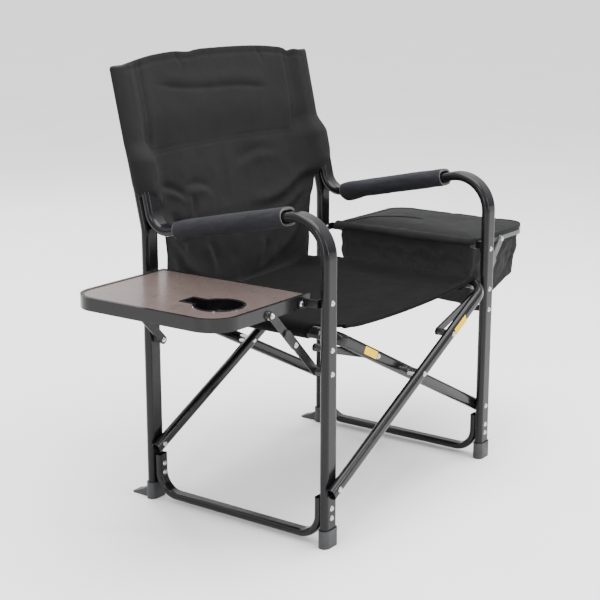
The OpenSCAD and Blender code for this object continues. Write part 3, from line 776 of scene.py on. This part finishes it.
def build_cooler_bag():
    low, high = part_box("cooler_bag")
    levels, around = 34, 150
    outline = resample(rounded_rectangle(low.x, high.x, low.y, high.y, (0.032, 0.018, 0.018, 0.032)), around)
    middle_xy = np.array([(low.x + high.x) / 2, (low.y + high.y) / 2])
    rings = []
    for k in range(levels):
        t = k / (levels - 1)
        ring = []
        for x, y in outline:
            u = (x - low.x) / (high.x - low.x)
            floor_z = low.z + 0.006 + 0.036 * smooth((u - 0.35) / 0.65)
            top_z = high.z + 0.004 + 0.009 * smooth((low.x + 0.012 - x) / 0.010)
            z = top_z + (floor_z - top_z) * t
            pull = 0.012 * math.sin(math.pi * t) * 0.35
            direction = np.array([x, y]) - middle_xy
            direction /= np.linalg.norm(direction)
            rear = 0.017 * smooth((y - middle_xy[1]) / (high.y - middle_xy[1])) * smooth((t + 0.05) / 0.2)
            ring.append((x - direction[0] * pull, y - direction[1] * pull + rear, z))
        rings.append(np.array(ring))
    steps = 12
    for k in range(1, steps):
        share = 1 - (k / steps)
        base = rings[levels - 1]
        centre = base.mean(0)
        ring = centre + (base - centre) * np.array([share, share, 1])
        ring[:, 2] = base[:, 2] * share + centre[2] * (1 - share) - 0.004 * (1 - share * share)
        rings.append(ring)
    obj = loft("cooler_bag_fabric", rings, caps=False)
    bm = bmesh.new()
    bm.from_mesh(obj.data)
    bm.verts.ensure_lookup_table()
    for corners in folded_cap((len(rings) - 1) * around, around, 0):
        bm.faces.new([bm.verts[i] for i in corners])
    bmesh.ops.recalc_face_normals(bm, faces=bm.faces)
    bm.to_mesh(obj.data)
    bm.free()
    before = coordinates(obj)
    pins = np.zeros(len(before))
    pins[:2 * around] = 1.0
    after = run_cloth(obj, pins, frames=26, pressure=0.6, gravity=0.8, growth=0.035, bending=0.25,
                      mass=0.3)
    before = capped(before, after, BAG_SLACK)
    depth = smooth((high.z - before[:, 2]) / 0.02)
    drop = high.z - before[:, 2]
    along = before[:, 1] + 0.7 * before[:, 0]
    left_ray, right_ray = np.sin((along + 1.0 * drop) * 96), np.sin((along - 0.9 * drop) * 88 + 0.9)
    pleats = np.maximum(left_ray, right_ray) ** 3 * bump_at(drop, 0.026, 0.038)
    crumple = 0.0050 * pleats + 0.0034 * noise_grid(before, (16, 16, 7), (1, 7, 3)) \
        + 0.0036 * noise_grid(before, (34, 34, 10), (5, 1, 2))
    direction = before[:, :2] - middle_xy
    direction /= np.maximum(np.linalg.norm(direction, axis=1, keepdims=True), 1e-6)
    before[:, :2] += direction * (crumple * depth)[:, None]
    set_coordinates(obj, before)
    obj.data.polygons.foreach_set("use_smooth", [True] * len(obj.data.polygons))
    add_modifier(obj, "SOLIDIFY", "cloth thickness", thickness=0.003, offset=-1.0)
    add_modifier(obj, "SUBSURF", "smooth", levels=1, render_levels=1)
    apply_modifiers(obj)
    dress(obj, "cooler_fabric")
    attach(obj, "cooler")
    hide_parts("cooler_bag")
    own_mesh(obj)
    return obj


ROLL = (0.016, 0.0125)        # the lid's inner edge rolls over the rim's bar: reach in x, drop in z
LID_DROPS = (0.12, 0.25, 0.4, 0.55, 0.7, 0.85, 1.0)


def build_cooler_lid():
    """One draped sheet with a thin filling: a low mound whose inner edge rolls over the rim's bar."""
    low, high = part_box("cooler_lid")
    outline = resample(rounded_rectangle(low.x - 0.002, high.x + 0.0005, low.y - 0.0005, high.y + 0.006,
                                         (0.050, 0.008, 0.014, 0.050)), 176)
    inner = smooth((low.x + 0.012 - outline[:, 0]) / 0.010)
    rear_corner = inner * smooth((outline[:, 1] - high.y + 0.060) / 0.060)
    outline[:, 1] += 0.012 * rear_corner
    flat_part = outline + np.stack([ROLL[0] * inner, 0 * inner], axis=1)
    centre = outline.mean(0)
    shares = [0.02, 0.1, 0.2, 0.3, 0.4, 0.5, 0.6, 0.68, 0.76, 0.83, 0.89, 0.93, 0.96, 0.98, 0.993]
    rings = []
    for share in shares:
        crown = 0.0125 * (1 - share ** 4) + 0.0005
        at = centre + (flat_part - centre) * share
        rings.append(np.column_stack([at, np.full(len(at), low.z + 0.004 + crown)]))
    v = (outline[:, 1] - low.y) / (high.y - low.y)
    hem = 0.0012 * np.sin(9 * v + 0.8) + 0.0009 * np.sin(23 * v) - 0.0012
    for drop in LID_DROPS:
        turn = math.pi / 2 * drop
        rolled_x = flat_part[:, 0] - ROLL[0] * inner * math.sin(turn)
        rolled_z = low.z + 0.0045 - ROLL[1] * (1 - math.cos(turn)) + hem * drop
        plain_z = low.z + 0.0045 - ROLL[1] * drop
        rings.append(np.column_stack([rolled_x, outline[:, 1], inner * rolled_z + (1 - inner) * plain_z]))
    obj = loft("cooler_lid_fabric", rings, caps=False)
    before = coordinates(obj)
    pins = np.zeros(len(before))
    held = len(LID_DROPS) * len(outline)
    pins[-held:] = 1.0
    pins[-held - len(outline):-held] = 0.6
    after = run_cloth(obj, pins, frames=20, pressure=0.5, gravity=0.15, growth=0.02, bending=0.3)
    before = capped(before, after, LID_SLACK)
    top = smooth((before[:, 0] - low.x - 0.006) / 0.05) * smooth((high.x - before[:, 0]) / 0.05) \
        * smooth((before[:, 1] - low.y) / 0.05) * smooth((high.y - before[:, 1]) / 0.05)
    wave = 0.0042 * noise_grid(before, (6, 5, 3), (2, 5, 1)) \
        + 0.0016 * noise_grid(before, (20, 14, 8), (8, 3, 1))
    valley = 0.0045 * bump_at(before[:, 0], low.x + 0.14, 0.055) \
        * bump_at(before[:, 1], centre[1] - 0.02, 0.10)
    mound = 0.0050 * bump_at(before[:, 0], centre[0], 0.10) * bump_at(before[:, 1], high.y - 0.07, 0.07)
    before[:, 2] += (wave - valley + mound) * top
    piping = (1 - top) * 0.0012 * noise_grid(before, (40, 40, 1), (6, 6, 6))
    before[:, 0] += piping
    set_coordinates(obj, before)
    bm = bmesh.new()
    bm.from_mesh(obj.data)
    bm.verts.ensure_lookup_table()
    for corners in folded_cap(0, len(outline), 0):
        bm.faces.new([bm.verts[i] for i in corners])
    bmesh.ops.recalc_face_normals(bm, faces=bm.faces)
    bm.to_mesh(obj.data)
    bm.free()
    add_modifier(obj, "SOLIDIFY", "cloth thickness", thickness=0.0035, offset=-1.0)
    add_modifier(obj, "SUBSURF", "smooth", levels=1, render_levels=1)
    apply_modifiers(obj)
    dress(obj, "lid_fabric")
    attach(obj, "cooler_lid")
    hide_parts("cooler_lid")
    return obj


# ---------------------------------------------------------------- stage

def build_stage():
    bpy.ops.mesh.primitive_plane_add(size=90, location=(0, 0, 0))
    floor = bpy.context.object
    floor.name = "floor"
    made = Shader("floor_paper", (0.90, 0.90, 0.90), 0.8)
    made.vary_color(0.03, 2)
    floor.data.materials.append(made.material)
    world = scene.world or bpy.data.worlds.new("studio")
    scene.world = world
    world.use_nodes = True
    background = world.node_tree.nodes.get("Background") or world.node_tree.nodes.new("ShaderNodeBackground")
    tree = world.node_tree
    place = tree.nodes.new("ShaderNodeTexCoord")
    split = tree.nodes.new("ShaderNodeSeparateXYZ")
    tree.links.new(place.outputs["Generated"], split.inputs[0])
    dome = tree.nodes.new("ShaderNodeMapRange")
    dome.inputs["From Min"].default_value = 0.0
    dome.inputs["From Max"].default_value = 0.55
    dome.inputs["To Min"].default_value = 0.30
    dome.inputs["To Max"].default_value = 1.85
    tree.links.new(split.outputs["Z"], dome.inputs["Value"])
    background.inputs["Color"].default_value = (1, 1, 1, 1)
    tree.links.new(dome.outputs[0], background.inputs["Strength"])
    lights = [
        ("overhead", (0.2, -0.4, 3.4), (0, 0, 0.4), 3.2, 3.2, 230),
        ("left_strip", (-3.3, -0.9, 1.5), (0, 0, 0.5), 0.18, 2.4, 42),
        ("front_strip", (1.2, -3.6, 1.5), (0, 0, 0.45), 0.20, 2.2, 40),
        ("back_strip", (1.5, 3.2, 2.2), (0, 0, 0.5), 0.6, 2.0, 40),
    ]
    for name, place, target, width, height, power in lights:
        data = bpy.data.lights.new(name, "AREA")
        data.shape = "RECTANGLE"
        data.size = width
        data.size_y = height
        data.energy = power
        light = bpy.data.objects.new(name, data)
        scene.collection.objects.link(light)
        light.location = place
        light.rotation_euler = (Vector(place) - Vector(target)).to_track_quat("Z", "Y").to_euler()


def build_camera():
    azimuth, elevation = math.radians(-54.21), math.radians(13.85)
    backward = Vector((math.sin(azimuth) * math.cos(elevation), -math.cos(azimuth) * math.cos(elevation),
                       math.sin(elevation)))
    data = bpy.data.cameras.new("camera")
    data.lens = 83.34
    data.sensor_width = 36
    camera = bpy.data.objects.new("camera", data)
    scene.collection.objects.link(camera)
    camera.location = (-2.2747, -1.6018, 1.064)
    camera.rotation_euler = backward.to_track_quat("Z", "Y").to_euler()
    scene.camera = camera


build_camera()
dress_cad()
build_backrest()
build_seat()
build_arm_pad("left_arm_pad", "left_frame")
build_arm_pad("right_arm_pad", "right_frame")
build_cooler_bag()
build_cooler_lid()
build_stage()
